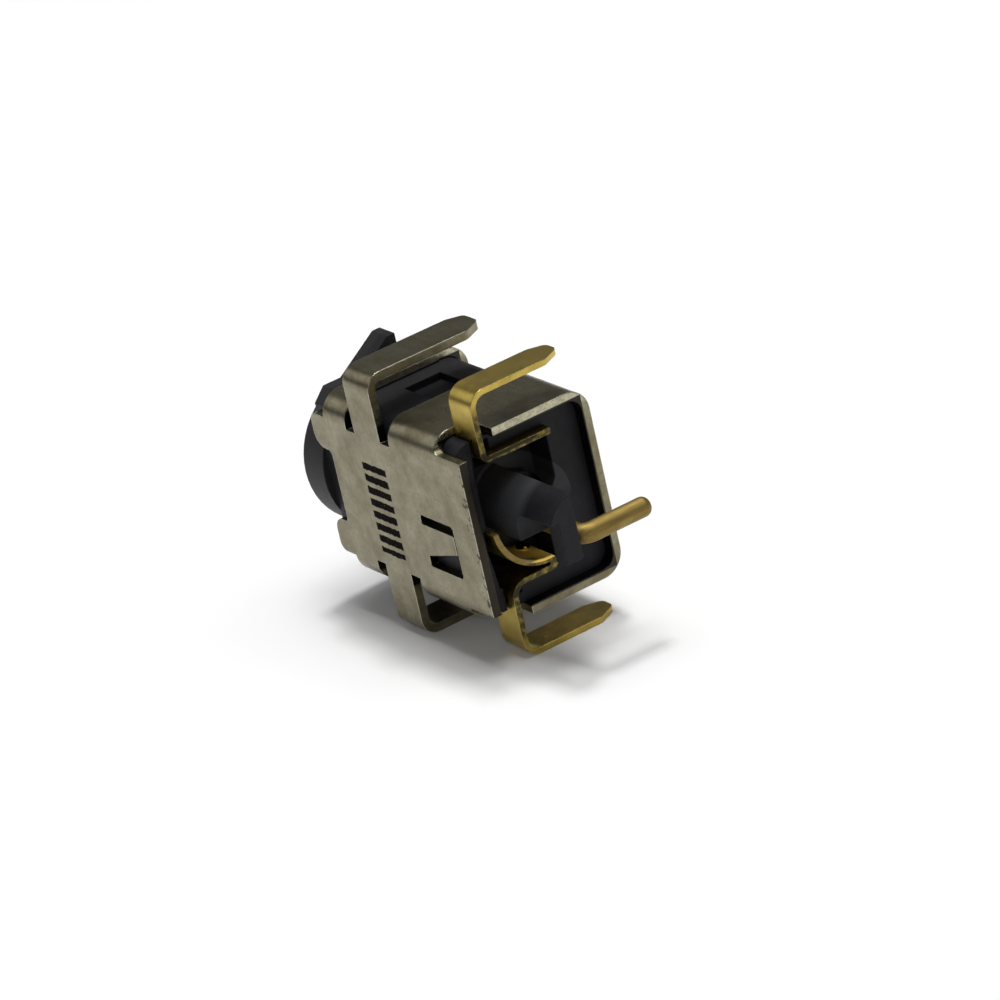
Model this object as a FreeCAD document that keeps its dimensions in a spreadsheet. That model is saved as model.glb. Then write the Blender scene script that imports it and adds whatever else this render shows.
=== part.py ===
"""Board-mounted dc barrel jack: folded metal shell, moulded housing, two sprung sleeve contacts
and a turned centre pin whose tail is bent down to the board.

Millimetres. +X is across the jack, +Y runs from the plug mouth to the rear, +Z is away from the board.
The origin is on the shell's flat bottom, under the plug axis, level with the legs of the contacts.
Places along the jack are measured forwards from the shell's rear rim, and depths down from the
shell's top face.
"""
import FreeCAD, Part
import os
import re
import Sketcher

SIZES = {
    # Folded shell: a box round the rear and a band round the front, joined by a spine along the top
    "shell_width": 6.6,
    "shell_height": 5.3,
    "sheet_gauge": 0.3,
    "fold_radius": 0.8,
    "shell_rear": 0.62,
    "rear_box_length": 3.9,
    "spine_inset": 0.94,
    "strip_rear": 4.48,
    "strip_front": 5.97,
    "band_rear_top": 6.5,
    "band_rear_side": 6.9,
    "band_front": 7.8,
    "lug_gap": 0.04,
    "lug_width": 1.22,
    "lug_inset": 0.78,
    "lug_rounding": 0.32,
    "lug_inner_rounding": 0.5,
    "lug_root_rounding": 0.18,
    "seam_offset": 1.6,
    "seam_gap": 0.08,
    # Legs of the shell and of the contacts
    "leg_outer": 4.7,
    "leg_fold_radius": 0.6,
    "leg_tip_height": 0.5,
    "rear_taper_height": 0.75,
    "rear_taper_depth": 0.42,
    "front_taper_height": 0.6,
    "front_taper_depth": 0.25,
    "tip_rounding": 0.25,
    # Notches in the rear corners, which the contacts pass through, and the plate's tab between them
    "rear_tab": 0.22,
    "notch_inset": 0.58,
    "notch_length": 1.3,
    "notch_depth": 1.6,
    "notch_rounding": 0.3,
    # Latch tongue in the top of the shell, flush with it, and the slot cut round it
    "window_left": -0.2,
    "window_right": 1.68,
    "window_front": 2.98,
    "window_rear": 1.08,
    "window_rounding": 0.14,
    "lance_left": 0.16,
    "lance_root_right": 1.3,
    "lance_tip_right": 0.82,
    "lance_end_gap": 0.08,
    # Moulded housing
    "housing_corner": 0.56,
    "rear_recess": 0.42,
    "side_groove_rear": 4.0,
    "side_groove_front": 6.13,
    "side_groove_top": 2.26,
    "side_groove_height": 1.44,
    "side_groove_depth": 0.25,
    "flange_thickness": 0.9,
    "flange_inset": 0.15,
    "flange_corner": 0.45,
    "wing_length": 1.05,
    "wing_top": 1.44,
    "wing_edge": 0.3,
    "wing_rise": 1.56,
    "barrel_length": 1.2,
    "barrel_wall": 0.55,
    "mouth_chamfer": 0.25,
    "bore_floor": 2.6,
    "bulkhead_rear": 1.6,
    "pocket_top": 0.85,
    "pocket_bottom_left": 3.75,
    "hook_room": 0.23,
    # Hub and arm that carry the tail of the centre pin behind the shell
    "hub_clearance": 0.23,
    "hub_right": 0.3,
    "hub_rear": 0.9,
    "arm_right": -0.6,
    "arm_rear": 2.7,
    "tail_block_front": 2.1,
    "tail_block_right": 0.9,
    "tail_block_top": 1.65,
    # Sleeve contacts
    "contact_gauge": 0.2,
    "contact_width": 1.25,
    "shoulder_top": 1.0,
    "contact_fold_radius": 0.42,
    "left_fold_radius": 0.12,
    "right_fold_radius": 0.4,
    "left_wall": 0.55,
    "left_bottom": 3.7,
    "leaf_radius": 1.68,
    "hook_drop": 0.27,
    "hook_gap": 0.12,
    "leaf_angle": 84.0,
    "tongue_angle": 58.0,
    "tongue_end": 4.2,
    "finger_half_width": 0.55,
    "finger_raise": 0.45,
    "finger_bow": 0.35,
    "slot_play": 0.06,
    "tongue_relief": 0.35,
    "leaf_room": 0.2,
    "fold_room": 0.42,
    # Centre pin
    "pin_diameter": 1.3,
    "pin_tip": 9.3,
    "pin_nose": 0.5,
    "pin_nose_depth": 0.3,
    "shank_diameter": 1.7,
    "collar_diameter": 2.0,
    "collar_length": 0.5,
    "tail_diameter": 0.68,
    "tail_offset": 0.35,
    "tail_reach": 2.35,
    "tail_bend": 0.4,
    "tail_tip_height": 0.04,
    "tail_end_rounding": 0.25,
    "pin_play": 0.02,
}

LEFT, RIGHT = -1, 1

doc = FreeCAD.newDocument("BarrelJack")


def make_sheet():
    """The sheet of driving sizes, one named cell each."""
    cells = doc.addObject("Spreadsheet::Sheet", "Sizes")
    for row, (name, size) in enumerate(SIZES.items(), start=1):
        cells.set(f"A{row}", name)
        cells.set(f"B{row}", str(size))
        cells.setAlias(f"B{row}", name)
    doc.recompute()
    return cells


sheet = make_sheet()

# Derived places, as expressions of the sheet's sizes
AXIS = "(shell_height / 2)"
REAR = "shell_rear"
FLANGE_REAR = "(shell_rear - band_front)"
FLANGE_FRONT = "(shell_rear - band_front - flange_thickness)"
UNDERSIDE = "(shell_height / 2 + tail_diameter / 2 + pin_play)"
SPINE_SIDE = "(shell_width / 2 - spine_inset)"
LUG_SIDE = "(shell_width / 2 - lug_inset)"
NOTCH_SIDE = "(shell_width / 2 - notch_inset)"
FLANGE_SIDE = "(shell_width / 2 - flange_inset)"
WING_SIDE = "(shell_width / 2 - flange_inset + wing_length)"
BORE_RADIUS = "(shell_height / 2 - barrel_wall)"
LEFT_UPRIGHT = "(shell_width / 2 - sheet_gauge - left_wall - contact_gauge)"
RIGHT_UPRIGHT = "(leaf_radius + contact_gauge + hook_gap)"
LEAF = "leaf_radius"
HUB = "(leaf_radius - hub_clearance)"
HOOK_LOW = "(shell_height / 2 - hook_drop)"


def bound(text):
    """The expression with each size name pointed at its cell."""
    return re.sub(r"[a-z]+(?:_[a-z]+)+", lambda found: "Sizes." + found.group(0), str(text))


def size(text):
    """The number that an expression gives now."""
    return float(sheet.evalExpression(bound(text)))


def forward(text):
    """The place that lies this far in front of the shell's rear rim."""
    return f"(shell_rear - ({text}))"


def depth(text):
    """The height that lies this far below the shell's top face."""
    return f"(shell_height - ({text}))"


def new_body(label):
    body = doc.addObject("PartDesign::Body", label)
    body.Label = label
    return body


def new_sketch(body, name, plane, place="0"):
    """An empty sketch on one of the body's own origin planes, moved along the plane's normal."""
    sketch = body.newObject("Sketcher::SketchObject", name)
    support = next(item for item in body.Origin.OriginFeatures if item.Role == plane + "_Plane")
    sketch.AttachmentSupport = [(support, "")]
    sketch.MapMode = "FlatFace"
    normal_place = f"-({place})" if plane == "XZ" else place
    sketch.setExpression("AttachmentOffset.Base.z", bound(normal_place))
    return sketch


def pin_point(sketch, curve, end, across, along):
    """Bind one point of a curve to two expressions."""
    for kind, text in (("DistanceX", across), ("DistanceY", along)):
        index = sketch.addConstraint(Sketcher.Constraint(kind, -1, 1, curve, end, size(text)))
        sketch.setExpression(f"Constraints[{index}]", bound(text))


def add_outline(sketch, corners):
    """A closed outline of straight sides."""
    places = [FreeCAD.Vector(size(across), size(along), 0) for across, along in corners]
    first = sketch.GeometryCount
    count = len(corners)
    for index in range(count):
        side = Part.LineSegment(places[index], places[(index + 1) % count])
        sketch.addGeometry(side, False)
    for index, (across, along) in enumerate(corners):
        joined = first + (index + 1) % count
        sketch.addConstraint(Sketcher.Constraint("Coincident", first + index, 2, joined, 1))
        pin_point(sketch, first + index, 1, across, along)
    return sketch


def add_rectangle(sketch, left, right, low, high):
    return add_outline(sketch, [(left, low), (right, low), (right, high), (left, high)])


def add_circle(sketch, across, along, radius):
    centre = FreeCAD.Vector(size(across), size(along), 0)
    curve = sketch.addGeometry(Part.Circle(centre, FreeCAD.Vector(0, 0, 1), size(radius)), False)
    pin_point(sketch, curve, 3, across, along)
    index = sketch.addConstraint(Sketcher.Constraint("Radius", curve, size(radius)))
    sketch.setExpression(f"Constraints[{index}]", bound(radius))
    return sketch


def add_disc_segment(sketch, radius, right, low):
    """A disc about the plug axis, cut off straight at the right and below."""
    reach, side, floor, middle = size(radius), size(right), size(low), size(AXIS)
    centre = FreeCAD.Vector(0, middle, 0)
    circle = Part.Circle(centre, FreeCAD.Vector(0, 0, 1), reach)
    top = FreeCAD.Vector(side, middle + (reach ** 2 - side ** 2) ** 0.5, 0)
    left = FreeCAD.Vector(-(reach ** 2 - (floor - middle) ** 2) ** 0.5, floor, 0)
    corner = FreeCAD.Vector(side, floor, 0)
    arc = sketch.addGeometry(Part.ArcOfCircle(circle, circle.parameter(top), circle.parameter(left)))
    bottom = sketch.addGeometry(Part.LineSegment(left, corner))
    upright = sketch.addGeometry(Part.LineSegment(corner, top))
    sketch.addConstraint(Sketcher.Constraint("Coincident", arc, 2, bottom, 1))
    sketch.addConstraint(Sketcher.Constraint("Coincident", bottom, 2, upright, 1))
    sketch.addConstraint(Sketcher.Constraint("Coincident", upright, 2, arc, 1))
    sketch.addConstraint(Sketcher.Constraint("Horizontal", bottom))
    sketch.addConstraint(Sketcher.Constraint("Vertical", upright))
    pin_point(sketch, arc, 3, "0", AXIS)
    pin_point(sketch, bottom, 2, right, low)
    index = sketch.addConstraint(Sketcher.Constraint("Radius", arc, reach))
    sketch.setExpression(f"Constraints[{index}]", bound(radius))
    return sketch


def extrude(body, kind, name, sketch, length, reverse=False, symmetric=False):
    """A pad or pocket. Sketches on the XZ plane grow forwards, towards the mouth."""
    before = body.Tip.Shape.Volume if body.Tip and body.Tip.Shape.Solids else 0.0
    feature = body.newObject("PartDesign::" + kind, name)
    feature.Profile = sketch
    feature.setExpression("Length", bound(length))
    feature.SideType = "Symmetric" if symmetric else "One side"
    feature.Reversed = reverse
    doc.recompute()
    after = feature.Shape.Volume
    if (after <= before) if kind == "Pad" else (after >= before):
        raise RuntimeError(f"{name} changed nothing: {before:.4f} to {after:.4f}")
    return feature


def pad(body, name, sketch, length, **options):
    return extrude(body, "Pad", name, sketch, length, **options)


def pocket(body, name, sketch, length, reverse=True, **options):
    """Cuts along the sketch's normal, so the same way as a pad."""
    return extrude(body, "Pocket", name, sketch, length, reverse=reverse, **options)


def turn(body, kind, name, sketch, angle, reverse=False):
    """A revolution or groove round the sketch's upright axis."""
    before = body.Tip.Shape.Volume if body.Tip and body.Tip.Shape.Solids else 0.0
    feature = body.newObject("PartDesign::" + kind, name)
    feature.Profile = sketch
    feature.ReferenceAxis = (sketch, ["V_Axis"])
    feature.setExpression("Angle", bound(angle))
    feature.Reversed = reverse
    doc.recompute()
    if abs(feature.Shape.Volume - before) < 1e-6:
        raise RuntimeError(f"{name} changed nothing")
    return feature


def edges_where(shape, axis, test):
    """Names of the straight edges along an axis whose middle passes the test."""
    names = []
    direction = FreeCAD.Vector(axis == "X", axis == "Y", axis == "Z")
    for index, edge in enumerate(shape.Edges, start=1):
        if edge.Curve.TypeId != "Part::GeomLine" or len(edge.Vertexes) != 2:
            continue
        run = edge.Vertexes[1].Point - edge.Vertexes[0].Point
        if run.Length < 1e-6 or abs(abs(run.normalize().dot(direction)) - 1) > 1e-6:
            continue
        if test(edge.CenterOfMass):
            names.append(f"Edge{index}")
    return names


def near(number, text):
    return abs(number - size(text)) < 1e-4


def round_edges(body, name, radius, axis, test):
    """A fillet on the straight edges along an axis that pass the test."""
    base = body.Tip
    names = edges_where(base.Shape, axis, test)
    if not names:
        raise RuntimeError(f"{name} found no edge")
    feature = body.newObject("PartDesign::Fillet", name)
    feature.Base = (base, names)
    feature.setExpression("Radius", bound(radius))
    doc.recompute()
    return feature


def taper_legs(body, rear, front, gauge):
    """Narrow the legs' tips on both edges, and round them, across both sides at once."""
    sketch = new_sketch(body, "LegTips", "YZ")
    tip = "leg_tip_height"
    for edge, outside, taper in ((rear, f"{rear} + 1", "rear_taper"), (front, f"{front} - 1", "front_taper")):
        shoulder = f"{tip} + {taper}_height"
        narrowed = f"{edge} - {taper}_depth" if edge == rear else f"{edge} + {taper}_depth"
        add_outline(sketch, [(edge, shoulder), (outside, shoulder), (outside, f"{tip} - 1"),
                             (narrowed, f"{tip} - 1"), (narrowed, tip)])
    pocket(body, "TaperedTips", sketch, "3 * leg_outer", symmetric=True)
    round_edges(body, "RoundedTips", "tip_rounding", "X",
                lambda middle: near(abs(middle.x), f"leg_outer - {gauge} / 2")
                and middle.z < size(f"{tip} + rear_taper_height") + 0.01)


def make_shell():
    """One folded sheet: top plate, sides and bottom, with two legs of its own."""
    body = new_body("shell")
    half = "shell_width / 2"
    inner = "shell_width / 2 - sheet_gauge"

    tab = "shell_rear + rear_tab"
    section = add_rectangle(new_sketch(body, "TubeOutside", "XZ", tab), f"-{half}", half, "0", "shell_height")
    pad(body, "Tube", section, "band_front + rear_tab")
    round_edges(body, "OuterFolds", "fold_radius", "Y", lambda middle: True)
    section = add_rectangle(new_sketch(body, "TubeInside", "XZ", tab), f"-({inner})", inner,
                            "sheet_gauge", "shell_height - sheet_gauge")
    pocket(body, "Hollow", section, "band_front + rear_tab")
    round_edges(body, "InnerFolds", "fold_radius - sheet_gauge", "Y",
                lambda middle: abs(abs(middle.x) - size(inner)) < 1e-4)

    opening = add_rectangle(new_sketch(body, "MiddleOpening", "XZ", forward("rear_box_length")),
                            "-shell_width", "shell_width", "-1", depth("fold_radius"))
    pocket(body, "OpenMiddle", opening, "band_rear_side - rear_box_length")
    slots = new_sketch(body, "SpineSides", "XY", depth("fold_radius"))
    for near_side, far_side in ((f"-{SPINE_SIDE}", "-shell_width"), (SPINE_SIDE, "shell_width")):
        add_rectangle(slots, near_side, far_side, forward("rear_box_length"), forward("band_rear_top"))
    pocket(body, "Spine", slots, "2 * fold_radius")

    for side, name in ((LEFT, "Left"), (RIGHT, "Right")):
        leg = new_sketch(body, name + "LegProfile", "XZ", forward("strip_rear"))
        add_outline(leg, [(f"{side} * ({SPINE_SIDE} - sheet_gauge)", "shell_height"),
                          (f"{side} * leg_outer", "shell_height"),
                          (f"{side} * leg_outer", "leg_tip_height"),
                          (f"{side} * (leg_outer - sheet_gauge)", "leg_tip_height"),
                          (f"{side} * (leg_outer - sheet_gauge)", depth("sheet_gauge")),
                          (f"{side} * ({SPINE_SIDE} - sheet_gauge)", depth("sheet_gauge"))])
        pad(body, name + "Leg", leg, "strip_front - strip_rear")
    round_edges(body, "LegFoldsOutside", "leg_fold_radius", "Y",
                lambda middle: near(abs(middle.x), "leg_outer") and near(middle.z, "shell_height"))
    round_edges(body, "LegFoldsInside", "leg_fold_radius - sheet_gauge", "Y",
                lambda middle: near(abs(middle.x), "leg_outer - sheet_gauge")
                and near(middle.z, depth("sheet_gauge")))
    taper_legs(body, forward("strip_rear"), forward("strip_front"), "sheet_gauge")

    lugs = new_sketch(body, "FrontLugs", "XY", depth("sheet_gauge"))
    for side in (LEFT, RIGHT):
        add_rectangle(lugs, f"{side} * ({LUG_SIDE} - lug_width)", f"{side} * {LUG_SIDE}",
                      forward("band_front - sheet_gauge"), FLANGE_FRONT + " + lug_gap")
    pad(body, "Lugs", lugs, "sheet_gauge")
    lug_end = FLANGE_FRONT + " + lug_gap"
    round_edges(body, "LugCorners", "lug_rounding", "Z",
                lambda middle: near(middle.y, lug_end) and near(abs(middle.x), LUG_SIDE))
    round_edges(body, "LugInnerCorners", "lug_inner_rounding", "Z",
                lambda middle: near(middle.y, lug_end) and near(abs(middle.x), LUG_SIDE + " - lug_width"))
    round_edges(body, "LugRoots", "lug_root_rounding", "Z",
                lambda middle: near(middle.y, FLANGE_REAR) and near(abs(middle.x), LUG_SIDE + " - lug_width"))

    rim = add_rectangle(new_sketch(body, "RimSection", "XZ", tab), "-shell_width", "shell_width",
                        "-1", depth("notch_depth"))
    pocket(body, "Rim", rim, "rear_tab")
    notches = new_sketch(body, "RearNotches", "XZ", tab)
    for side in (LEFT, RIGHT):
        add_rectangle(notches, f"{side} * {NOTCH_SIDE}", f"{side} * shell_width",
                      depth("notch_depth"), "shell_height + 1")
    pocket(body, "ContactNotches", notches, "notch_length + rear_tab")
    round_edges(body, "NotchCorners", "notch_rounding", "Z",
                lambda middle: near(abs(middle.x), NOTCH_SIDE) and near(middle.y, forward("notch_length")))

    window = new_sketch(body, "LatchSlot", "XY", depth("fold_radius"))
    add_outline(window, [("window_left", forward("window_front")), ("window_left", forward("window_rear")),
                         ("window_right", forward("window_rear")), ("window_right", forward("window_front")),
                         ("lance_root_right", forward("window_front")),
                         ("lance_tip_right", forward("window_rear + lance_end_gap")),
                         ("lance_left", forward("window_rear + lance_end_gap")),
                         ("lance_left", forward("window_front"))])
    pocket(body, "Latch", window, "2 * fold_radius")
    round_edges(body, "LatchSlotEnds", "window_rounding", "Z",
                lambda middle: near(middle.x, "window_left")
                or near(middle.x, "window_right")
                or (near(middle.x, "lance_left") and near(middle.y, forward("window_front"))))

    seam = add_rectangle(new_sketch(body, "SeamGap", "XZ", REAR), "seam_offset - seam_gap / 2",
                         "seam_offset + seam_gap / 2", "-sheet_gauge", "2 * sheet_gauge")
    pocket(body, "Seam", seam, "band_front")
    return body


def flange_outline():
    """Right half of the flange, from the top centre down: a cut corner, then a wing over the board."""
    return [(f"({FLANGE_SIDE} - flange_corner)", depth("sheet_gauge")),
            (FLANGE_SIDE, depth("sheet_gauge + flange_corner")),
            (FLANGE_SIDE, depth("wing_top")),
            (WING_SIDE, depth("wing_top + wing_rise")),
            (WING_SIDE, depth("wing_top + wing_rise + wing_edge")),
            (FLANGE_SIDE, depth("wing_top + wing_rise + wing_edge")),
            (FLANGE_SIDE, "sheet_gauge + flange_corner"),
            (f"({FLANGE_SIDE} - flange_corner)", "sheet_gauge")]


def make_housing():
    """One moulding: block inside the shell, front flange with wings, barrel, and the rear arm."""
    body = new_body("housing")
    inner = "shell_width / 2 - sheet_gauge"

    block = add_rectangle(new_sketch(body, "BlockSection", "XZ", forward("rear_recess")), f"-({inner})",
                          inner, "sheet_gauge", depth("sheet_gauge"))
    pad(body, "Block", block, "band_front - rear_recess")
    round_edges(body, "BlockCorners", "housing_corner", "Y", lambda middle: True)

    right_half = flange_outline()
    left_half = [(f"-({across})", along) for across, along in reversed(right_half)]
    flange = add_outline(new_sketch(body, "FlangeSection", "XZ", FLANGE_REAR), right_half + left_half)
    pad(body, "Flange", flange, "flange_thickness")
    barrel = add_circle(new_sketch(body, "BarrelSection", "XZ", FLANGE_FRONT), "0", AXIS, AXIS)
    pad(body, "Barrel", barrel, "barrel_length")

    mouth = FLANGE_FRONT + " - barrel_length"
    bore = add_circle(new_sketch(body, "BoreSection", "XZ", forward("bore_floor")), "0", AXIS, BORE_RADIUS)
    pocket(body, "Bore", bore, "band_front + flange_thickness + barrel_length - bore_floor")
    flare = new_sketch(body, "MouthFlare", "XY", AXIS)
    add_outline(flare, [(f"{BORE_RADIUS} - 0.1", mouth), (f"{BORE_RADIUS} + mouth_chamfer", mouth),
                        (f"{BORE_RADIUS} - 0.1", mouth + " + mouth_chamfer + 0.1")])
    turn(body, "Groove", "FlaredMouth", flare, "360")

    rear_pocket = new_sketch(body, "RearPocketSection", "XZ", forward("rear_recess"))
    leaf_top = f"{AXIS} + {LEAF} + contact_gauge + slot_play"
    add_outline(rear_pocket, [(f"-({LEFT_UPRIGHT} + contact_gauge)", depth("pocket_top")),
                              ("hub_right - leaf_room", depth("pocket_top")),
                              ("hub_right - leaf_room", leaf_top),
                              (f"{LEAF} / 2", leaf_top),
                              (f"{RIGHT_UPRIGHT} + contact_gauge", depth("pocket_top")),
                              (f"{RIGHT_UPRIGHT} + contact_gauge", HOOK_LOW + " - hook_room"),
                              ("hub_right", HOOK_LOW + " - hook_room"),
                              ("arm_right", depth("pocket_bottom_left")),
                              (f"-({LEFT_UPRIGHT} + contact_gauge)", depth("pocket_bottom_left"))])
    pocket(body, "RearPocket", rear_pocket, "bulkhead_rear - rear_recess")
    shoulder_slot = add_rectangle(new_sketch(body, "ShoulderSlot", "XZ", forward("rear_recess")),
                                  "-shell_width", "shell_width",
                                  depth("shoulder_top + contact_gauge + slot_play"),
                                  depth("shoulder_top - slot_play"))
    pocket(body, "ContactSlot", shoulder_slot, "contact_width + slot_play - rear_recess")

    fold_room = add_rectangle(new_sketch(body, "FoldRoomSection", "XZ", forward("rear_recess")),
                              f"-({LEFT_UPRIGHT} + contact_gauge + fold_room)",
                              f"{RIGHT_UPRIGHT} + contact_gauge + fold_room",
                              depth("shoulder_top + contact_gauge + fold_room"), depth("shoulder_top"))
    pocket(body, "FoldRoom", fold_room, "contact_width + slot_play - rear_recess")

    finger_slot = add_rectangle(new_sketch(body, "FingerSlotSection", "XZ", forward("bulkhead_rear")),
                                f"-({LEFT_UPRIGHT} + contact_gauge)", f"-({BORE_RADIUS} - 0.6)",
                                AXIS + " + finger_raise - finger_half_width - slot_play",
                                AXIS + " + finger_raise + finger_half_width + slot_play")
    pocket(body, "FingerSlot", finger_slot, "tongue_end + slot_play - bulkhead_rear")
    tongue_slot = new_sketch(body, "TongueSlotSection", "XY", AXIS)
    add_rectangle(tongue_slot, f"{LEAF} - slot_play", f"{LEAF} + contact_gauge + tongue_relief",
                  forward("tongue_end + slot_play"), forward("bulkhead_rear - 0.1"))
    turn(body, "Groove", "TongueSlot", tongue_slot, "tongue_angle + 3", reverse=True)

    hub = add_disc_segment(new_sketch(body, "HubSection", "XZ", "shell_rear + hub_rear"),
                           HUB, "hub_right", UNDERSIDE)
    pad(body, "Hub", hub, "hub_rear + bulkhead_rear")
    arm = add_disc_segment(new_sketch(body, "ArmSection", "XZ", "shell_rear + arm_rear"),
                           HUB, "arm_right", UNDERSIDE)
    pad(body, "Arm", arm, "arm_rear - hub_rear + 0.1")
    tail_block = add_rectangle(new_sketch(body, "TailBlockSection", "XZ", "shell_rear + arm_rear"),
                               "arm_right - 0.2", "tail_block_right", UNDERSIDE, depth("tail_block_top"))
    pad(body, "TailBlock", tail_block, "arm_rear - tail_block_front")

    pin_hole = add_circle(new_sketch(body, "PinHoleSection", "XZ", forward("bulkhead_rear - 0.1")), "0", AXIS,
                          "shank_diameter / 2")
    pocket(body, "PinHole", pin_hole, "bore_floor - bulkhead_rear + 0.2")
    collar_seat = add_circle(new_sketch(body, "CollarSeatSection", "XZ",
                                        forward("bulkhead_rear - collar_length - pin_play")),
                             "0", AXIS, "collar_diameter / 2 + pin_play")
    pocket(body, "CollarSeat", collar_seat, "collar_length + pin_play")

    grooves = new_sketch(body, "SideGrooves", "XZ", forward("side_groove_rear"))
    for side in (LEFT, RIGHT):
        add_rectangle(grooves, f"{side} * ({inner} - side_groove_depth)", f"{side} * shell_width",
                      depth("side_groove_top + side_groove_height"), depth("side_groove_top"))
    pocket(body, "GroovedSides", grooves, "side_groove_front - side_groove_rear")
    return body


def contact_profile(side, upright, bottom):
    """Half of the strip's folded section: blade outside, shoulder across, upright inside."""
    gauge = "contact_gauge"
    top = depth("shoulder_top")
    under = depth(f"shoulder_top + {gauge}")
    return [(f"{side} * leg_outer", "leg_tip_height"), (f"{side} * leg_outer", top),
            (f"{side} * {upright}", top)], [
            (f"{side} * ({upright} + {gauge})", bottom), (f"{side} * ({upright} + {gauge})", under),
            (f"{side} * (leg_outer - {gauge})", under), (f"{side} * (leg_outer - {gauge})", "leg_tip_height")]


def fold_contact(body, upright, upright_fold):
    """Round the strip's folds: over the blade, and down into the upright."""
    gauge = "contact_gauge"
    top = depth("shoulder_top")
    under = depth(f"shoulder_top + {gauge}")
    for name, fold, outside, inside in (("Blade", "contact_fold_radius", "leg_outer", f"leg_outer - {gauge}"),
                                        ("Upright", upright_fold, upright, f"{upright} + {gauge}")):
        round_edges(body, name + "FoldOutside", fold + " + contact_gauge", "Y",
                    lambda middle: near(middle.z, top) and near(abs(middle.x), outside))
        round_edges(body, name + "FoldInside", fold, "Y",
                    lambda middle: near(middle.z, under) and near(abs(middle.x), inside))


def make_left_contact():
    """Sleeve contact whose upright carries a bowed finger that reaches forwards into the bore."""
    body = new_body("left_contact")
    bottom = depth("left_bottom")
    outer_points, inner_points = contact_profile(LEFT, LEFT_UPRIGHT, bottom)
    section = new_sketch(body, "StripSection", "XZ", REAR)
    add_outline(section, outer_points + [(f"-{LEFT_UPRIGHT}", bottom)] + inner_points)
    pad(body, "Strip", section, "contact_width")
    fold_contact(body, LEFT_UPRIGHT, "left_fold_radius")
    taper_legs(body, REAR, forward("contact_width"), "contact_gauge")

    outer = f"-({LEFT_UPRIGHT} + contact_gauge)"
    root = forward("contact_width - contact_gauge")
    middle = forward("(contact_width + 2 * tongue_end) / 3")
    end = forward("tongue_end")
    finger = new_sketch(body, "FingerPlan", "XY", AXIS + " + finger_raise")
    add_outline(finger, [(outer, root), (f"-{LEFT_UPRIGHT}", root), (f"-{LEFT_UPRIGHT} + finger_bow", middle),
                         (f"-{LEFT_UPRIGHT} + contact_gauge / 2", end), (outer + " + contact_gauge / 2", end),
                         (outer + " + finger_bow", middle)])
    pad(body, "Finger", finger, "2 * finger_half_width", symmetric=True)
    return body


def make_right_contact():
    """Sleeve contact that hooks under and round into a leaf about the plug axis."""
    body = new_body("right_contact")
    outer_points, inner_points = contact_profile(RIGHT, RIGHT_UPRIGHT, HOOK_LOW)
    section = new_sketch(body, "StripSection", "XZ", REAR)
    add_outline(section, outer_points + [(RIGHT_UPRIGHT, AXIS), (LEAF, AXIS), (LEAF, HOOK_LOW)]
                + inner_points)
    pad(body, "Strip", section, "contact_width")
    fold_contact(body, RIGHT_UPRIGHT, "right_fold_radius")
    round_edges(body, "HookCorners", "hook_drop - 0.02", "Y", lambda middle: near(middle.z, HOOK_LOW))
    taper_legs(body, REAR, forward("contact_width"), "contact_gauge")

    for name, angle, front, rear in (("Leaf", "leaf_angle", forward("contact_width"), REAR),
                                     ("Tongue", "tongue_angle", forward("tongue_end"),
                                      forward("contact_width - 0.1"))):
        section = add_rectangle(new_sketch(body, name + "Section", "XY", AXIS), LEAF,
                                f"{LEAF} + contact_gauge", front, rear)
        turn(body, "Revolution", name, section, angle, reverse=True)
    return body


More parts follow.
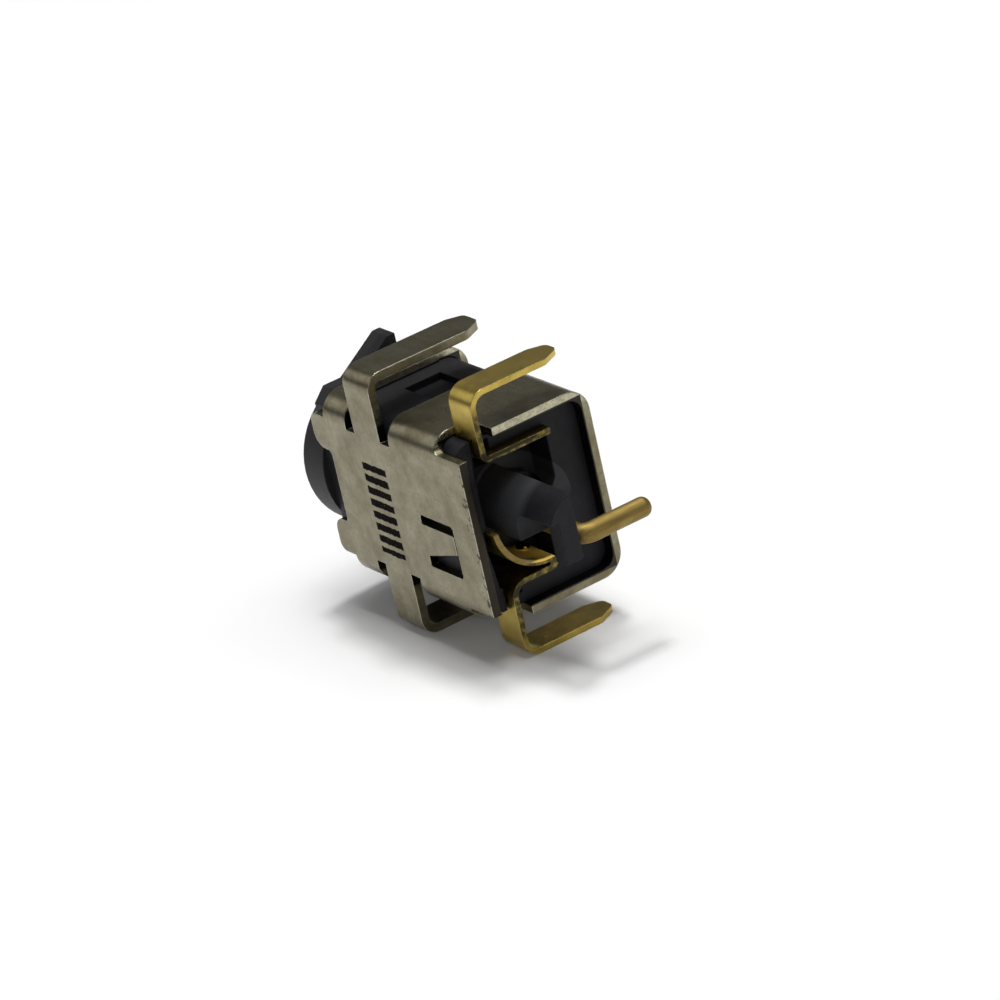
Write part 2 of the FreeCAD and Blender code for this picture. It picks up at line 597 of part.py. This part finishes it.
def make_centre_pin():
    """Turned pin with a collar; its thinner tail runs rearwards under the arm and turns down."""
    body = new_body("centre_pin")
    radius = "pin_diameter / 2"
    seat = forward("bulkhead_rear")
    collar_rear = forward("bulkhead_rear - collar_length")
    half = new_sketch(body, "TurnedHalf", "XY", AXIS)
    add_outline(half, [("0", forward("pin_tip")), (f"{radius} - pin_nose_depth", forward("pin_tip")),
                       (radius, forward("pin_tip - pin_nose")), (radius, forward("bore_floor")),
                       ("shank_diameter / 2", forward("bore_floor")), ("shank_diameter / 2", seat),
                       ("collar_diameter / 2", seat), ("collar_diameter / 2", collar_rear),
                       ("0", collar_rear)])
    turn(body, "Revolution", "Turned", half, "360")

    path = new_sketch(body, "TailPath", "YZ", "tail_offset")
    start, corner, low = size(collar_rear) - 0.1, size("shell_rear + tail_reach"), size("tail_tip_height")
    high, bend = size(AXIS), size("tail_bend")
    before_bend = FreeCAD.Vector(corner - bend, high, 0)
    after_bend = FreeCAD.Vector(corner, high - bend, 0)
    centre = FreeCAD.Vector(corner - bend, high - bend, 0)
    run = path.addGeometry(Part.LineSegment(FreeCAD.Vector(start, high, 0), before_bend))
    arc = path.addGeometry(Part.ArcOfCircle(Part.Circle(centre, FreeCAD.Vector(0, 0, 1), bend), 0.0, 1.5707963))
    drop = path.addGeometry(Part.LineSegment(after_bend, FreeCAD.Vector(corner, low, 0)))
    path.addConstraint(Sketcher.Constraint("Horizontal", run))
    path.addConstraint(Sketcher.Constraint("Vertical", drop))
    path.addConstraint(Sketcher.Constraint("Tangent", run, 2, arc, 2))
    path.addConstraint(Sketcher.Constraint("Tangent", drop, 1, arc, 1))
    index = path.addConstraint(Sketcher.Constraint("Radius", arc, bend))
    path.setExpression(f"Constraints[{index}]", bound("tail_bend"))
    pin_point(path, run, 1, f"{collar_rear} - 0.1", AXIS)
    pin_point(path, drop, 2, "shell_rear + tail_reach", "tail_tip_height")
    wire = add_circle(new_sketch(body, "TailSection", "XY", "tail_tip_height"), "tail_offset",
                      "shell_rear + tail_reach", "tail_diameter / 2")
    doc.recompute()
    tail = body.newObject("PartDesign::AdditivePipe", "Tail")
    tail.Profile = wire
    tail.Spine = (path, ["Edge1", "Edge2", "Edge3"])
    doc.recompute()
    end = [f"Edge{number}" for number, edge in enumerate(tail.Shape.Edges, start=1)
           if edge.Closed and abs(edge.CenterOfMass.z - low) < 1e-4]
    rounded = body.newObject("PartDesign::Fillet", "TailEnd")
    rounded.Base = (tail, end)
    rounded.setExpression("Radius", bound("tail_end_rounding"))
    doc.recompute()
    return body


def check_and_write(bodies):
    """Refuse a failed feature or an unsound solid, then write one file for each piece."""
    doc.recompute()
    failed = [item.Label for item in doc.Objects if "Invalid" in item.State or "Error" in item.State]
    if failed:
        raise RuntimeError("failed: " + ", ".join(failed))
    os.makedirs("parts", exist_ok=True)
    for body in bodies:
        shape = body.Shape
        if shape.isNull() or not shape.isValid() or len(shape.Solids) != 1:
            raise RuntimeError(f"{body.Label}: null, not valid or {len(shape.Solids)} solids")
        shape.exportStep(f"parts/{body.Label}.step")
        box = shape.BoundBox
        print(f"{body.Label:15s} {shape.Volume:8.3f} mm3  x {box.XMin:6.2f} {box.XMax:6.2f}"
              f"  y {box.YMin:6.2f} {box.YMax:6.2f}  z {box.ZMin:6.2f} {box.ZMax:6.2f}")


check_and_write([make_shell(), make_housing(), make_left_contact(), make_right_contact(), make_centre_pin()])
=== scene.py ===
"""The dc barrel jack as photographed: lying on the legs of one side, seen from behind and above.

X runs across the jack, Y from its mouth to its rear, and Z away from the board. The materials measure
places on the jack in millimetres. Everything else is in metres.
"""
import math

import bpy
from mathutils import Matrix, Vector


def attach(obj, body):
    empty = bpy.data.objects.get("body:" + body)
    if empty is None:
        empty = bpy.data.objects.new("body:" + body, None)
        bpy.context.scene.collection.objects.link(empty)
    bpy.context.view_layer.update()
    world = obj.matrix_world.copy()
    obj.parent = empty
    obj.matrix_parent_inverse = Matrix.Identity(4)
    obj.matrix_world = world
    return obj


MM = 0.001
PLUG_AXIS_HEIGHT = 2.65

# Places on the jack, in millimetres: two bounds and their softness for band(), or one bound and its
# softness for above() and below(). A REACH is counted from the middle to both sides.
LEFT_WALL = (-3.5, -2.9, 0.2)
TOP_PLATE_WIDTH = (-2.9, 2.75, 0.1)
TOP_PLATE_GAUGE = (4.98, 5.272, 0.01)
TOP_PLATE_REAR = (0.56, 0.08)
TOP_PLATE_HEIGHT = (5.1, 0.05)
TOP_FACE_HEIGHT = (5.29, 0.005)
CAVITY_WIDTH = (-3.04, 3.04, 0.02)
CAVITY_HEIGHT = (0.26, 4.99, 0.02)
PRINT_LENGTH = (-1.30, 1.95, 0.02)
PRINT_WIDTH = (-5.30, -3.95, 0.04)
PRINT_PITCH = 0.44
SHOULDER_REACH = (1.2, 3.8, 0.5)
LEFT_UPRIGHT = (-2.60, -2.34, 0.03)
RIGHT_UPRIGHT = (2.20, 2.5, 0.03)
UPRIGHT_HEIGHT = (2.2, 4.6, 0.1)
LEAF_WIDTH = (0.4, 1.9, 0.1)
LEAF_RADIUS = (1.66, 1.76, 0.02)
DIMPLE_RADIUS = (1.30, 1.63, 0.02)
TAIL_REACH = (1.6, 0.05)
TAIL_FRONT = (0.40, 0.1)
COLLAR_REACH = (1.04, 0.02)
COLLAR_LENGTH = (-1.05, -0.42, 0.02)
BARREL_REAR = (-7.7, 0.2)
HUB_RADIUS = (1.55, 0.05)
HUB_LENGTH = (-3.6, 1.5, 0.4)
HUB_WIDTH = (-1.8, -0.2, 0.5)

NICKEL = {"pale": (0.262, 0.242, 0.162), "dim": (0.166, 0.141, 0.082), "speck": (0.125, 0.115, 0.085),
          "scuff": (0.35, 0.33, 0.26), "worn_and_highlight": (0.78, 0.75, 0.62), "rim_painted_highlight": (0.48, 0.46, 0.33),
          "top_rear_painted_shade": (0.024, 0.020, 0.016), "shaded": (0.035, 0.033, 0.028), "ink": (0.010, 0.008, 0.010)}
GOLD = {"pale": (0.53, 0.395, 0.092), "dim": (0.42, 0.31, 0.070), "worn_and_highlight": (0.62, 0.45, 0.16),
        "tarnish_and_painted_shade": (0.045, 0.040, 0.022), "shaded": (0.032, 0.029, 0.018), "leaf": (0.90, 0.60, 0.11),
        "tail": (0.27, 0.195, 0.060), "streak": (0.20, 0.135, 0.042), "collar_painted_shade": (0.012, 0.011, 0.010)}
BLACK = {"deep": (0.008, 0.008, 0.010), "pale": (0.013, 0.013, 0.016), "fleck": (0.04, 0.04, 0.045),
         "barrel_painted_sheen": (0.019, 0.019, 0.020), "hub_painted_light": (0.038, 0.039, 0.043)}

NODE_FINISH = {"shell": "nickel_plate", "housing": "black_moulding", "left_contact": "gold_plate",
               "right_contact": "gold_plate", "centre_pin": "gold_plate"}

REAR_FACING = (0.80, 0.90)
EDGE_WEAR_AND_HIGHLIGHT_LEAN = (0.98, 0.80)

FLOOR_FACE = 4.72 * MM
FLOOR_REACH = 1.2
FLOOR_WHITE = 0.865
FLOOR_GLOW = 0.03

# Each soft box: its direction from the jack, its distance, its side length and its power in watts.
LAMPS = {
    "overhead": ((-0.93, 0.28, -0.24), 0.40, 0.22, 0.25),
    "mouthward": ((-1.0, -0.25, -0.05), 0.40, 0.15, 0.23),
    "rearward": ((-1.0, 0.12, -0.10), 0.40, 0.15, 0.60),
    "key": ((-1.0, -0.15, -0.18), 0.40, 0.06, 0.56),
    "low": ((-0.85, -0.45, -0.30), 0.40, 0.12, 0.03),
    "side": ((-0.455, -0.797, 0.396), 0.45, 0.22, 0.14),
    "arris": ((-0.797, 0.396, -0.455), 0.40, 0.13, 0.08),
    "back": ((-0.25, 0.86, -0.45), 0.40, 0.05, 0.05),
    "fill": ((-0.45, 0.78, 0.42), 0.40, 0.06, 0.10),
}

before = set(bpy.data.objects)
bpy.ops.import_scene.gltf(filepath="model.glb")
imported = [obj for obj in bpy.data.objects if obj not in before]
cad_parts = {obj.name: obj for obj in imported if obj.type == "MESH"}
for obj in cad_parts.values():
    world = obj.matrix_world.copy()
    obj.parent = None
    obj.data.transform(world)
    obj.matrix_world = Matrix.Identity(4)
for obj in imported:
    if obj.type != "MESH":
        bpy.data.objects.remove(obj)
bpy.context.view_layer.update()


# Shader nodes

def make_material(name):
    """An empty node material, its shader and the position on the object in millimetres."""
    material = bpy.data.materials.new(name)
    material.use_nodes = True
    tree = material.node_tree
    tree.nodes.clear()
    output = tree.nodes.new("ShaderNodeOutputMaterial")
    shader = tree.nodes.new("ShaderNodeBsdfPrincipled")
    tree.links.new(shader.outputs["BSDF"], output.inputs["Surface"])
    coordinates = tree.nodes.new("ShaderNodeTexCoord")
    place = tree.nodes.new("ShaderNodeVectorMath")
    place.operation = "SCALE"
    place.inputs["Scale"].default_value = 1 / MM
    tree.links.new(coordinates.outputs["Object"], place.inputs[0])
    return material, tree, shader, place.outputs[0]


def split(tree, vector):
    """The three coordinates of a vector."""
    node = tree.nodes.new("ShaderNodeSeparateXYZ")
    tree.links.new(vector, node.inputs[0])
    return node.outputs["X"], node.outputs["Y"], node.outputs["Z"]


def stretched(tree, place, scale):
    """The position scaled differently along each axis, which draws a pattern out along some of them."""
    node = tree.nodes.new("ShaderNodeVectorMath")
    node.operation = "MULTIPLY"
    node.inputs[1].default_value = scale
    tree.links.new(place, node.inputs[0])
    return node.outputs[0]


def dot_product(tree, one, two):
    """The dot product of a vector socket with another one or with a fixed direction."""
    node = tree.nodes.new("ShaderNodeVectorMath")
    node.operation = "DOT_PRODUCT"
    tree.links.new(one, node.inputs[0])
    if isinstance(two, Vector):
        node.inputs[1].default_value = two
    else:
        tree.links.new(two, node.inputs[1])
    return node.outputs["Value"]


def noise(tree, place, scale=1.0, detail=3.0, roughness=0.6):
    """Cloudy noise about 0.5, with as many features to a millimetre as scale says."""
    node = tree.nodes.new("ShaderNodeTexNoise")
    node.inputs["Scale"].default_value = scale
    node.inputs["Detail"].default_value = detail
    node.inputs["Roughness"].default_value = roughness
    tree.links.new(place, node.inputs["Vector"])
    return node.outputs["Fac"]


def remap(tree, value, low, high, out_low, out_high):
    """The value moved from the range low to high into the range out_low to out_high, and held there."""
    node = tree.nodes.new("ShaderNodeMapRange")
    node.inputs["From Min"].default_value = low
    node.inputs["From Max"].default_value = high
    node.inputs["To Min"].default_value = out_low
    node.inputs["To Max"].default_value = out_high
    tree.links.new(value, node.inputs["Value"])
    return node.outputs["Result"]


def math_node(tree, operation, *values):
    """One of Blender's math operations on numbers or sockets."""
    node = tree.nodes.new("ShaderNodeMath")
    node.operation = operation
    for socket, value in zip(node.inputs, values):
        if isinstance(value, (int, float)):
            socket.default_value = value
        else:
            tree.links.new(value, socket)
    return node.outputs[0]


def scaled(tree, value, factor):
    """A socket times a number or another socket."""
    return math_node(tree, "MULTIPLY", value, factor)


def mix_colour(tree, factor, one, two):
    """Colour one where the factor is 0, and colour two where it is 1."""
    node = tree.nodes.new("ShaderNodeMix")
    node.data_type = "RGBA"
    tree.links.new(factor, node.inputs["Factor"])
    ends = [socket for socket in node.inputs if socket.type == "RGBA"]
    for socket, colour in zip(ends, (one, two)):
        if isinstance(colour, tuple):
            socket.default_value = (*colour, 1.0)
        else:
            tree.links.new(colour, socket)
    return next(socket for socket in node.outputs if socket.type == "RGBA")


def layered(tree, colour, *layers):
    """The colour with each layer, a mask and its colour, laid over it in turn."""
    for mask, over in layers:
        colour = mix_colour(tree, mask, colour, over)
    return colour


def above(tree, value, bound, soft):
    """0 below the bound and 1 from it upwards."""
    return remap(tree, value, bound - soft, bound, 0.0, 1.0)


def below(tree, value, bound, soft):
    """1 up to the bound and 0 above it."""
    return remap(tree, value, bound, bound + soft, 1.0, 0.0)


def band(tree, value, low, high, soft):
    """1 between the two bounds and 0 outside them."""
    return both(tree, above(tree, value, low, soft), below(tree, value, high, soft))


def both(tree, *masks):
    """1 where every mask is 1."""
    product = masks[0]
    for mask in masks[1:]:
        product = math_node(tree, "MULTIPLY", product, mask)
    return product


def from_plug_axis(tree, across, upward):
    """The distance from the plug axis."""
    beyond = math_node(tree, "SUBTRACT", upward, PLUG_AXIS_HEIGHT)
    squares = math_node(tree, "ADD", scaled(tree, across, across), scaled(tree, beyond, beyond))
    return math_node(tree, "SQRT", squares)


def facing_rear(tree, most=1.0):
    """The given most on faces that look rearwards, which are cut edges of the sheet, and 0 on all others."""
    surface = tree.nodes.new("ShaderNodeNewGeometry")
    _, rearward, _ = split(tree, surface.outputs["Normal"])
    return remap(tree, rearward, *REAR_FACING, 0.0, most)


def soft_edges(tree, radius_mm):
    """Normals that round each sharp edge a little, as stamping and plating do."""
    node = tree.nodes.new("ShaderNodeBevel")
    node.samples = 6
    node.inputs["Radius"].default_value = radius_mm * MM
    return node.outputs["Normal"]


def edge_wear_and_highlight(tree, radius_mm, most):
    """The given most along sharp edges and 0 on flat faces, from how far the rounded normal leans: the mask
    for edges that are paler from wear and also from painted highlight.
    """
    surface = tree.nodes.new("ShaderNodeNewGeometry")
    lean = dot_product(tree, soft_edges(tree, radius_mm), surface.outputs["Normal"])
    return remap(tree, lean, *EDGE_WEAR_AND_HIGHLIGHT_LEAN, 0.0, most)


def bump(tree, height, strength, distance_mm, normal):
    """The normal roughened by a height."""
    node = tree.nodes.new("ShaderNodeBump")
    node.inputs["Strength"].default_value = strength
    node.inputs["Distance"].default_value = distance_mm * MM
    tree.links.new(height, node.inputs["Height"])
    tree.links.new(normal, node.inputs["Normal"])
    return node.outputs["Normal"]


# Materials

def nickel_plate():
    """Rolled sheet under satin nickel: blotches, scuffs, printed bars, edges paler from wear and painted
    highlight, painted highlight on the left rim's cut face, and painted shade on the top plate's rear and on
    the inner walls.
    """
    material, tree, shader, place = make_material("nickel_plate")
    across, rearward, upward = split(tree, place)
    blotches = noise(tree, place, scale=1.1, detail=5.0, roughness=0.65)
    grain = noise(tree, stretched(tree, place, (9.0, 1.2, 9.0)))
    specks = noise(tree, place, scale=9.0, roughness=0.7)
    scuffs = noise(tree, stretched(tree, place, (3.0, 7.0, 6.0)), detail=5.0, roughness=0.75)
    shade_patchiness = noise(tree, place, scale=4.5, detail=2.0)
    fray = noise(tree, place, scale=6.0)

    # Painted highlight: the left wall's rear cut face made paler, standing in for the glint on its edge.
    left_rim_painted_highlight = both(tree, facing_rear(tree), band(tree, across, *LEFT_WALL),
                    remap(tree, specks, 0.38, 0.62, 0.35, 1.0))
    # Painted shade: patches on the top plate's rear tab, and its rear cut face, darkened nearly to black.
    top_tab_painted_shade = both(tree, remap(tree, shade_patchiness, 0.58, 0.64, 0.0, 0.85), above(tree, rearward, *TOP_PLATE_REAR),
                  above(tree, upward, *TOP_PLATE_HEIGHT))
    top_cut_painted_shade = both(tree, facing_rear(tree, 0.95), band(tree, across, *TOP_PLATE_WIDTH),
                   band(tree, upward, *TOP_PLATE_GAUGE))
    # Painted shade on the shell's inner walls.
    inside = both(tree, band(tree, across, *CAVITY_WIDTH), band(tree, upward, *CAVITY_HEIGHT))

    ragged = math_node(tree, "ADD", across, scaled(tree, fray, 0.12))
    turn = math_node(tree, "FRACT", math_node(tree, "DIVIDE", ragged, PRINT_PITCH))
    ink = both(tree, remap(tree, turn, 0.58, 0.64, 1.0, 0.0), band(tree, ragged, *PRINT_LENGTH),
               band(tree, rearward, *PRINT_WIDTH), above(tree, upward, *TOP_FACE_HEIGHT),
               remap(tree, specks, 0.28, 0.36, 0.6, 1.0))

    colour = layered(tree, NICKEL["pale"],
                     (remap(tree, blotches, 0.35, 0.65, 0.0, 1.0), NICKEL["dim"]),
                     (remap(tree, specks, 0.48, 0.72, 0.0, 0.55), NICKEL["speck"]),
                     (remap(tree, scuffs, 0.60, 0.74, 0.0, 0.3), NICKEL["scuff"]),
                     # Paler edges: wear, and also painted highlight along every arris.
                     (edge_wear_and_highlight(tree, 0.04, 0.8), NICKEL["worn_and_highlight"]),
                     (left_rim_painted_highlight, NICKEL["rim_painted_highlight"]),
                     (math_node(tree, "MAXIMUM", top_tab_painted_shade, top_cut_painted_shade), NICKEL["top_rear_painted_shade"]),
                     (inside, NICKEL["shaded"]),
                     (scaled(tree, ink, 0.97), NICKEL["ink"]))
    polish = math_node(tree, "ADD", blotches, grain)
    height = math_node(tree, "ADD", grain, scaled(tree, specks, 0.3))
    shader.inputs["Specular IOR Level"].default_value = 0.0
    tree.links.new(colour, shader.inputs["Base Color"])
    tree.links.new(remap(tree, ink, 0.0, 1.0, 1.0, 0.0), shader.inputs["Metallic"])
    tree.links.new(remap(tree, polish, 0.6, 1.4, 0.24, 0.38), shader.inputs["Roughness"])
    tree.links.new(bump(tree, height, 0.25, 0.008, soft_edges(tree, 0.06)), shader.inputs["Normal"])
    return material


def gold_plate():
    """Thin gold over a copper alloy: rolling lines, edges paler from wear and painted highlight, tarnish and
    painted shade on the cut faces, a leaf painted paler as if lit, painted shade on the pin's collar, and a
    drawn tail.
    """
    material, tree, shader, place = make_material("gold_plate")
    across, rearward, upward = split(tree, place)
    reach = math_node(tree, "ABSOLUTE", across)
    radius = from_plug_axis(tree, across, upward)
    blotches = noise(tree, place, scale=1.4, detail=4.0)
    stains = noise(tree, place, scale=5.0)
    lines = noise(tree, stretched(tree, place, (4.0, 14.0, 4.0)), detail=2.0)
    streaks = noise(tree, stretched(tree, place, (11.0, 11.0, 0.9)), detail=2.0)

    cut = facing_rear(tree)
    # Tarnish and painted shade: the contacts' rear cut faces from 1.2 to 3.8 mm out from the middle darkened
    # in patches.
    tarnished_and_shaded = both(tree, cut, band(tree, reach, *SHOULDER_REACH),
                     remap(tree, stains, 0.45, 0.65, 0.97, 0.60))
    # Painted shade on the rear cut faces of both contacts' uprights.
    uprights = math_node(tree, "MAXIMUM", band(tree, across, *LEFT_UPRIGHT),
                         band(tree, across, *RIGHT_UPRIGHT))
    shaded = both(tree, cut, uprights, band(tree, upward, *UPRIGHT_HEIGHT))
    # Painted light: the leaf's inner face made paler and less metallic, as if lit.
    leaf = both(tree, band(tree, radius, *LEAF_RADIUS), band(tree, across, *LEAF_WIDTH))
    dimple = both(tree, band(tree, radius, *DIMPLE_RADIUS), band(tree, across, *LEAF_WIDTH))
    tail = both(tree, below(tree, reach, *TAIL_REACH), above(tree, rearward, *TAIL_FRONT))
    # Painted shade: the centre pin's collar darkened nearly to black.
    collar_painted_shade = both(tree, below(tree, reach, *COLLAR_REACH), band(tree, rearward, *COLLAR_LENGTH))

    drawn = mix_colour(tree, remap(tree, streaks, 0.45, 0.62, 0.0, 0.6), GOLD["tail"], GOLD["streak"])
    colour = layered(tree, GOLD["pale"],
                     (remap(tree, blotches, 0.35, 0.65, 0.0, 1.0), GOLD["dim"]),
                     # Paler edges: wear, and also painted highlight along every arris.
                     (edge_wear_and_highlight(tree, 0.04, 0.5), GOLD["worn_and_highlight"]),
                     (tarnished_and_shaded, GOLD["tarnish_and_painted_shade"]),
                     (shaded, GOLD["shaded"]),
                     (leaf, GOLD["leaf"]),
                     (tail, drawn),
                     (collar_painted_shade, GOLD["collar_painted_shade"]))
    duller = math_node(tree, "ADD", remap(tree, blotches, 0.3, 0.7, 0.26, 0.40), scaled(tree, tail, 0.24))
    roughness = math_node(tree, "SUBTRACT", duller, scaled(tree, dimple, 0.20))
    tree.links.new(colour, shader.inputs["Base Color"])
    tree.links.new(remap(tree, leaf, 0.0, 1.0, 1.0, 0.35), shader.inputs["Metallic"])
    tree.links.new(roughness, shader.inputs["Roughness"])
    tree.links.new(bump(tree, lines, 0.12, 0.004, soft_edges(tree, 0.05)), shader.inputs["Normal"])
    return material


def black_moulding():
    """Glass-filled black moulding: matt skin, flow marks, flecks, a barrel painted paler for sheen and a hub
    painted paler as if lit.
    """
    material, tree, shader, place = make_material("black_moulding")
    across, rearward, upward = split(tree, place)
    flow = noise(tree, stretched(tree, place, (1.0, 0.5, 1.6)), scale=1.2)
    skin = noise(tree, place, scale=18.0, detail=4.0, roughness=0.7)
    fibres = noise(tree, stretched(tree, place, (30.0, 5.0, 18.0)), detail=2.0)

    # Painted sheen: the barrel a little paler than the rest of the moulding.
    barrel = below(tree, rearward, *BARREL_REAR)
    # Painted light: the hub in the pocket made paler, as if lit.
    hub = both(tree, below(tree, from_plug_axis(tree, across, upward), *HUB_RADIUS),
               band(tree, rearward, *HUB_LENGTH), band(tree, across, *HUB_WIDTH))

    colour = layered(tree, BLACK["deep"],
                     (remap(tree, flow, 0.3, 0.7, 0.0, 1.0), BLACK["pale"]),
                     (remap(tree, fibres, 0.66, 0.8, 0.0, 0.6), BLACK["fleck"]),
                     (barrel, BLACK["barrel_painted_sheen"]),
                     (hub, BLACK["hub_painted_light"]))
    matt = remap(tree, skin, 0.3, 0.7, 0.45, 0.62)
    shader.inputs["Specular IOR Level"].default_value = 0.2
    tree.links.new(colour, shader.inputs["Base Color"])
    tree.links.new(math_node(tree, "SUBTRACT", matt, scaled(tree, barrel, 0.03)), shader.inputs["Roughness"])
    tree.links.new(bump(tree, skin, 0.4, 0.010, soft_edges(tree, 0.07)), shader.inputs["Normal"])
    return material


def dress_nodes(materials):
    """Gives each CAD node its finish."""
    for name, finish in NODE_FINISH.items():
        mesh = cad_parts[name].data
        mesh.materials.clear()
        mesh.materials.append(materials[finish])


# Pieces, floor, light and camera

def add_object(name, data):
    """A new object in the scene."""
    item = bpy.data.objects.new(name, data)
    bpy.context.scene.collection.objects.link(item)
    return item


def make_dimple(material):
    """The contact dimple pressed into the leaf's inner face: a little dome that faces the plug axis."""
    radius, height, sunk_foot = 0.27 * MM, 0.17 * MM, 0.01 * MM
    sharpness = 1.2
    rings, around = 12, 40
    leaf_radius, station, tilt = 1.68 * MM, -0.69 * MM, math.radians(4.8)
    inward = Vector((-math.cos(tilt), 0.0, -math.sin(tilt)))
    foot = Vector((0.0, station, PLUG_AXIS_HEIGHT * MM)) - inward * leaf_radius
    aside = Vector((0.0, 1.0, 0.0))
    upright = inward.cross(aside)
    points = [foot + inward * height]
    for ring in range(1, rings + 1):
        share = ring / rings
        slope = share * math.pi / 2
        rise = height * math.cos(slope) ** sharpness - sunk_foot * share
        for step in range(around):
            turn = 2 * math.pi * step / around
            spoke = aside * math.cos(turn) + upright * math.sin(turn)
            points.append(foot + spoke * radius * math.sin(slope) + inward * rise)
    faces = [(0, 1 + step, 1 + (step + 1) % around) for step in range(around)]
    for ring in range(rings - 1):
        upper, lower = 1 + ring * around, 1 + (ring + 1) * around
        for step in range(around):
            following = (step + 1) % around
            faces.append((upper + step, lower + step, lower + following, upper + following))
    mesh = bpy.data.meshes.new("leaf_dimple")
    mesh.from_pydata(points, [], faces)
    mesh.update()
    mesh.shade_smooth()
    mesh.materials.append(material)
    piece = add_object("leaf_dimple", mesh)
    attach(piece, "root")


def pale_floor():
    """Matt near-white that shows a touch brighter than it is lit, and is clear from below."""
    material = bpy.data.materials.new("pale_floor")
    material.use_nodes = True
    tree = material.node_tree
    tree.nodes.clear()
    output = tree.nodes.new("ShaderNodeOutputMaterial")
    paper = tree.nodes.new("ShaderNodeBsdfDiffuse")
    paper.inputs["Color"].default_value = (FLOOR_WHITE, FLOOR_WHITE, FLOOR_WHITE, 1.0)
    glow = tree.nodes.new("ShaderNodeEmission")
    path = tree.nodes.new("ShaderNodeLightPath")
    mirrored = math_node(tree, "MAXIMUM", path.outputs["Is Glossy Ray"], path.outputs["Is Transmission Ray"])
    seen = math_node(tree, "MAXIMUM", path.outputs["Is Camera Ray"], mirrored)
    tree.links.new(scaled(tree, seen, FLOOR_GLOW), glow.inputs["Strength"])
    lit = tree.nodes.new("ShaderNodeAddShader")
    tree.links.new(paper.outputs[0], lit.inputs[0])
    tree.links.new(glow.outputs[0], lit.inputs[1])
    clear = tree.nodes.new("ShaderNodeBsdfTransparent")
    surface = tree.nodes.new("ShaderNodeNewGeometry")
    sided = tree.nodes.new("ShaderNodeMixShader")
    tree.links.new(surface.outputs["Backfacing"], sided.inputs["Fac"])
    tree.links.new(lit.outputs[0], sided.inputs[1])
    tree.links.new(clear.outputs[0], sided.inputs[2])
    tree.links.new(sided.outputs[0], output.inputs["Surface"])
    return material


def make_floor():
    """The surface that the jack lies on: it touches the legs of one side."""
    corners = ((-FLOOR_REACH, -FLOOR_REACH), (-FLOOR_REACH, FLOOR_REACH),
               (FLOOR_REACH, FLOOR_REACH), (FLOOR_REACH, -FLOOR_REACH))
    mesh = bpy.data.meshes.new("floor")
    mesh.from_pydata([(FLOOR_FACE, rearward, upward) for rearward, upward in corners], [], [(0, 1, 2, 3)])
    mesh.materials.append(pale_floor())
    floor = add_object("floor", mesh)


def make_world():
    """Dim surroundings, paler in the part that the jack's left side mirrors to the photograph."""
    pale_side = Vector((-0.40, -0.80, -0.45)).normalized()
    world = bpy.data.worlds.new("studio")
    bpy.context.scene.world = world
    world.use_nodes = True
    tree = world.node_tree
    tree.nodes.clear()
    output = tree.nodes.new("ShaderNodeOutputWorld")
    background = tree.nodes.new("ShaderNodeBackground")
    background.inputs["Color"].default_value = (1.0, 1.0, 1.0, 1.0)
    coordinates = tree.nodes.new("ShaderNodeTexCoord")
    toward = dot_product(tree, coordinates.outputs["Generated"], pale_side)
    tree.links.new(remap(tree, toward, 0.30, 0.85, 0.06, 0.16), background.inputs["Strength"])
    tree.links.new(background.outputs[0], output.inputs["Surface"])


def make_lamp(name, direction, distance, size, power):
    """A square soft box that faces the middle of the jack."""
    lamp = bpy.data.lights.new(name, "AREA")
    lamp.shape = "SQUARE"
    lamp.size = size
    lamp.energy = power
    holder = add_object(name, lamp)
    back = Vector(direction).normalized()
    holder.location = Vector((0.0, -3.0 * MM, PLUG_AXIS_HEIGHT * MM)) + back * distance
    holder.rotation_mode = "QUATERNION"
    holder.rotation_quaternion = (-back).to_track_quat("-Z", "Y")


def make_camera():
    """The photograph's viewpoint, fitted to the shell's straight edges."""
    data = bpy.data.cameras.new("camera")
    data.sensor_width = 36.0
    data.lens = 209.16
    data.clip_start = 0.001
    data.clip_end = 10.0
    camera = add_object("camera", data)
    right = (0.20494906, 0.56001242, -0.80273406)
    up = (-0.89499954, -0.22475855, -0.38530431)
    back = (-0.39619654, 0.79741437, 0.45514681)
    position = (-0.0740178, 0.1478038, 0.0879828)
    turn = Matrix((right, up, back)).transposed().to_4x4()
    camera.matrix_world = Matrix.Translation(position) @ turn
    bpy.context.scene.camera = camera


finishes = {"nickel_plate": nickel_plate(), "gold_plate": gold_plate(), "black_moulding": black_moulding()}
dress_nodes(finishes)
make_dimple(finishes["gold_plate"])
make_floor()
make_world()
for lamp_name, lamp in LAMPS.items():
    make_lamp(lamp_name, *lamp)
make_camera()
bpy.context.scene.view_settings.view_transform = "Standard"
